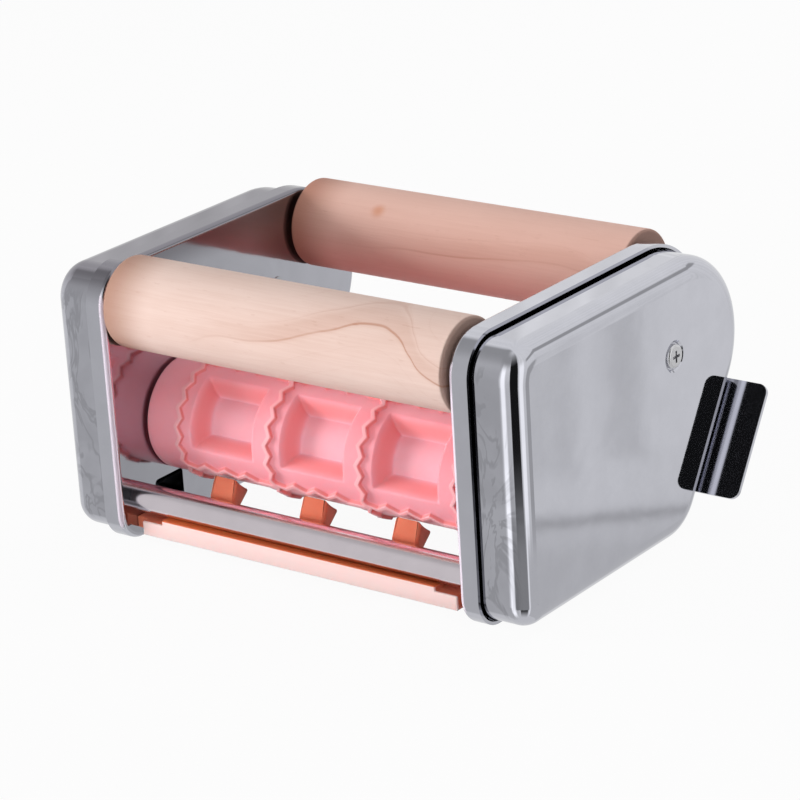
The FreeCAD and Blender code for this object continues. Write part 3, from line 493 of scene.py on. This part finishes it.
BAR_TALL = 7.3
finishes["pink_plastic"] = plastic("pink_plastic", colour(254, 170, 181), colour(252, 163, 174), 0.42,
                                   0.003, 0.4, painted_ridge_light)
finishes["peach_plastic"] = plastic("peach_plastic", colour(219, 122, 93), colour(212, 112, 84), 0.42,
                                    0.003, 0.4, painted_comb_light)
finishes["nylon"] = plastic("nylon", colour(232, 230, 222), colour(224, 221, 211), 0.5, 0.002, 0.2)

# %% Give every solid its finish
def dress(obj, slot):
    """One finish all over an object, named by the record's slot."""
    obj.data.materials.clear()
    obj.data.materials.append(finishes[slot])


for name, solid in nodes.items():
    dress(solid, solid.data.materials[0].name.split(".")[0])
for name in ("left_mount_ear", "right_mount_ear"):
    nodes[name].data.materials[0] = finishes["mirror_steel"]
print("dressed", len(nodes), "solids")

# %% [markdown]
# ## Moulded rollers
# The roller's surface is one sheet: its radius depends on the place along the
# roller and the turn round it. The grid's lines are bent to follow each
# zigzag rim, so a rim's edge always lies on a line of the grid.

# %% Numbers of the moulded rollers, in millimetres and degrees
LAND, RIDGE, FLOOR = 21.5, 1.55, 14.2
PITCH, AROUND, TILT = 41.2, 120.0, 27.1
RIM_HALF, FLOOR_END = 14.1, 10.0
RIM_ANGLE, FLOOR_ANGLE = 39.0, 29.0
RING_SWING, RING_TEETH = 1.1, 20
BAR_SWING, BAR_BEND = 1.5, 4.75
POCKET_SHIFT, RIDGE_SHIFT = 1.3, 1.2
ROLLER_HALF, BORE, END_ROUND = 75.0, 4.02, 0.7
pocket_places = POCKET_SHIFT + PITCH * (np.arange(3) - 1.0)
ring_places = POCKET_SHIFT + RIDGE_SHIFT + PITCH * (np.arange(4) - 1.5)
bar_turns = TILT + AROUND * (np.arange(3) + 0.5)


def triangle(phase):
    """A triangle wave from -1 at whole numbers to 1 half way, its corners a little rounded."""
    return -2.0 / math.pi * np.arcsin(0.985 * np.cos(2.0 * math.pi * phase))


def smooth(share):
    """Smoothstep: 0 below 0, 1 above 1, and an S between."""
    held = np.clip(share, 0.0, 1.0)
    return held * held * (3.0 - 2.0 * held)


def soft_least(a, b, round_by):
    """The smaller of two values, with the corner between them rounded."""
    near = np.clip(0.5 + 0.5 * (b - a) / round_by, 0.0, 1.0)
    return b + (a - b) * near - round_by * near * (1.0 - near)


def nearest(values, centres):
    """Distance from each value to its nearest centre, with its sign."""
    gaps = values[..., None] - centres
    return np.take_along_axis(gaps, np.abs(gaps).argmin(-1)[..., None], -1)[..., 0]


def apart(values, least):
    """The values in order, without those that lie closer than least to the one before."""
    kept = [values[0]]
    for value in values[1:]:
        if value - kept[-1] >= least:
            kept.append(value)
    return np.array(kept)


# %% The grid lines
across_ridge = np.array([0.0, 0.45, 0.72, 0.86, 0.98, 1.08, 1.18, 1.3, 1.45, 1.8, 2.4, 3.1, 3.8])
across_pocket = np.array([2.5, 5.0, 7.2, 8.6, 9.4, 9.8, 10.15, 10.6,
                          11.3, 12.1, 12.8, 13.3, 13.7, 14.1, 14.5, 15.0])
limit = ROLLER_HALF - END_ROUND
lines_along = [c + side * across_ridge for c in ring_places for side in (-1, 1)]
lines_along += [c + side * across_pocket for c in pocket_places for side in (-1, 1)]
lines_along += [ring + BAR_BEND * np.arange(0.0, 8.4, 0.5) for ring in ring_places[:-1]]
lines_along.append(np.arange(-limit + 2.0, limit, 2.5))
lines_along = np.sort(np.concatenate(lines_along))
lines_along = lines_along[np.abs(lines_along) < limit - 0.3]
lines_along = np.concatenate([[-limit], apart(lines_along, 0.11), [limit]])

DEGREE_MM = math.radians(1.0) * (LAND + RIDGE)
bar_steps = np.concatenate([across_ridge / DEGREE_MM, [12.5, 15.5, 18.0, 19.4, 20.2, 20.8, 21.4, 22.2,
                            23.5, 26.0, 28.5, 29.8, 30.5, 31.0, 31.6, 32.6,
                            35.0, 39.0, 44.0, 49.0, 54.0, 59.0]])
bend_turns = TILT + 180.0 / RING_TEETH * np.arange(2 * RING_TEETH)
lines_round = [b + side * bar_steps for b in bar_turns for side in (-1, 1)]
lines_round += [bend_turns + step for step in (-1.6, -0.8, 0.0, 0.8, 1.6, 4.5)]
lines_round = apart(np.sort(np.concatenate(lines_round) % 360.0), 0.2)
print("roller grid", len(lines_along), "by", len(lines_round))

# %% The roller's surface
def grid_mesh(name, points, wrap_across=True, wrap_along=True):
    """A mesh from a grid of points in millimetres. Each cell of the grid is one face, facing out."""
    rows, columns = points.shape[:2]
    index = np.arange(rows * columns).reshape(rows, columns)
    if wrap_across:
        index = np.vstack([index, index[:1]])
    if wrap_along:
        index = np.hstack([index, index[:, :1]])
    quads = np.stack([index[:-1, :-1], index[1:, :-1], index[1:, 1:], index[:-1, 1:]], -1).reshape(-1, 4)
    flat = points.reshape(-1, 3) * MM
    a, b, c, d = (flat[quads[:, k]] for k in range(4))
    volume = np.einsum("ij,ij->i", a + b + c + d, np.cross(c - a, d - b)).sum()
    if volume < 0:
        quads = quads[:, ::-1]
    mesh = bpy.data.meshes.new(name)
    mesh.from_pydata(flat.tolist(), [], quads.tolist())
    mesh.polygons.foreach_set("use_smooth", np.ones(len(quads), bool))
    mesh.update()
    made = bpy.data.objects.new(name, mesh)
    scene.collection.objects.link(made)
    return made


def moulded_roller(axis, facing):
    """Points of a roller about its axis. Turn 0 looks to the front for facing -1, to the rear for 1.

    Radius = land - pocket depth + ridge height. A ridge's height falls in an S from its crest.
    A pocket's depth is the least of its four slopes, held between 0 and the floor's depth.
    """
    s, t = np.meshgrid(lines_along, lines_round, indexing="ij")
    from_ring = nearest(s, ring_places)
    from_bar = nearest(t, np.concatenate([bar_turns, bar_turns - 360.0, bar_turns + 360.0]))
    inside = (s > ring_places[0]) & (s < ring_places[-1])
    held = 1.0 - smooth((np.abs(from_ring) - 1.5) / 2.3)
    x = s + RING_SWING * triangle((t - TILT) * RING_TEETH / 360.0) * held
    bend = np.mod(s - ring_places[0], PITCH) / BAR_BEND
    zigzag = np.interp(bend, np.arange(9.0), [0, -1, 1, -1, 1, -1, 1, -1, -1])
    bar_mm = np.abs(from_bar) * DEGREE_MM
    turn_by = t + zigzag * BAR_SWING / DEGREE_MM * (1.0 - smooth((bar_mm - 1.5) / 4.5)) * inside
    ring = 1.0 - smooth((np.abs(from_ring) - 0.75) / 0.6)
    bar = (1.0 - smooth((bar_mm - 0.75) / 0.6)) * inside
    from_middle = np.abs(nearest(s, pocket_places))
    turned = AROUND / 2.0 - np.abs(from_bar)
    depth = soft_least((RIM_HALF - from_middle) / (RIM_HALF - FLOOR_END),
                       (RIM_ANGLE - turned) / (RIM_ANGLE - FLOOR_ANGLE), 0.15)
    depth = soft_least(depth, np.ones_like(depth), 0.08)
    depth = -soft_least(-depth, np.zeros_like(depth), 0.13)
    rise = np.maximum(ring, bar)
    radius = LAND - (LAND - FLOOR) * depth + RIDGE * rise
    angle = np.radians(turn_by)
    outer = np.stack([x, facing * radius * np.cos(angle), radius * np.sin(angle)], -1)

    bend = np.radians(np.linspace(0.0, 90.0, 6)[1:])
    end_x = limit + END_ROUND * np.sin(bend)
    end_r = LAND - END_ROUND + END_ROUND * np.cos(bend)
    end_x = np.append(end_x, [ROLLER_HALF, ROLLER_HALF])
    end_r = np.append(end_r, [(LAND + BORE) / 2.0, BORE])
    round_cos, round_sin = np.cos(np.radians(lines_round)), np.sin(np.radians(lines_round))

    def turned_rows(xs, rs):
        rows = [np.broadcast_to(xs[:, None], (len(xs), len(lines_round))),
                facing * rs[:, None] * round_cos, rs[:, None] * round_sin]
        return np.stack(rows, -1)

    right_end = turned_rows(end_x, end_r)
    left_end = turned_rows(-end_x[::-1], end_r[::-1])
    points = np.concatenate([outer, right_end, left_end]) + axis
    rises = np.zeros(points.shape[:2])
    rises[:len(rise)] = rise
    rises[:len(rise)] -= depth
    return points, rises


for side, facing in (("front", -1.0), ("rear", 1.0)):
    points, rises = moulded_roller(axis_of[side + "_die_spin"], facing)
    roller = grid_mesh(side + "_moulded_roller", points)
    kept = roller.data.attributes.new("rise", "FLOAT", "POINT")
    kept.data.foreach_set("value", rises.ravel())
    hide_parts(side + "_ravioli_roller")
    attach(roller, side + "_die")
    dress(roller, "pink_plastic")
    print(roller.name, len(roller.data.polygons), "faces")

# %% [markdown]
# ## Moulded combs
# A moulded comb has no knife edges. A copy of the solid is merged and its flat
# faces made whole, and then a Bevel rounds every sharp edge a little. The copy
# stands where the solid stands.

# %% Copies with rounded edges
def softened(node, name, body, width, slot):
    """A copy of a solid whose sharp edges are rounded by width millimetres."""
    solid = nodes[node]
    bm = bmesh.new()
    bm.from_mesh(solid.data)
    bmesh.ops.remove_doubles(bm, verts=bm.verts, dist=1e-6)
    bmesh.ops.dissolve_limit(bm, angle_limit=math.radians(0.5), verts=bm.verts, edges=bm.edges)
    mesh = bpy.data.meshes.new(name)
    bm.to_mesh(mesh)
    bm.free()
    mesh.polygons.foreach_set("use_smooth", np.ones(len(mesh.polygons), bool))
    made = bpy.data.objects.new(name, mesh)
    scene.collection.objects.link(made)
    bevel = made.modifiers.new("rounded", "BEVEL")
    bevel.width, bevel.segments, bevel.limit_method = width * MM, 3, "ANGLE"
    bevel.angle_limit = math.radians(28.0)
    bevel.harden_normals = True
    bevel.use_clamp_overlap = False
    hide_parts(node)
    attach(made, body)
    dress(made, slot)
    return made


for side in ("front", "rear"):
    piece = softened(side + "_comb", side + "_stripper_comb", "frame", 0.45, "peach_plastic")
    print(piece.name, len(piece.data.polygons), "faces")
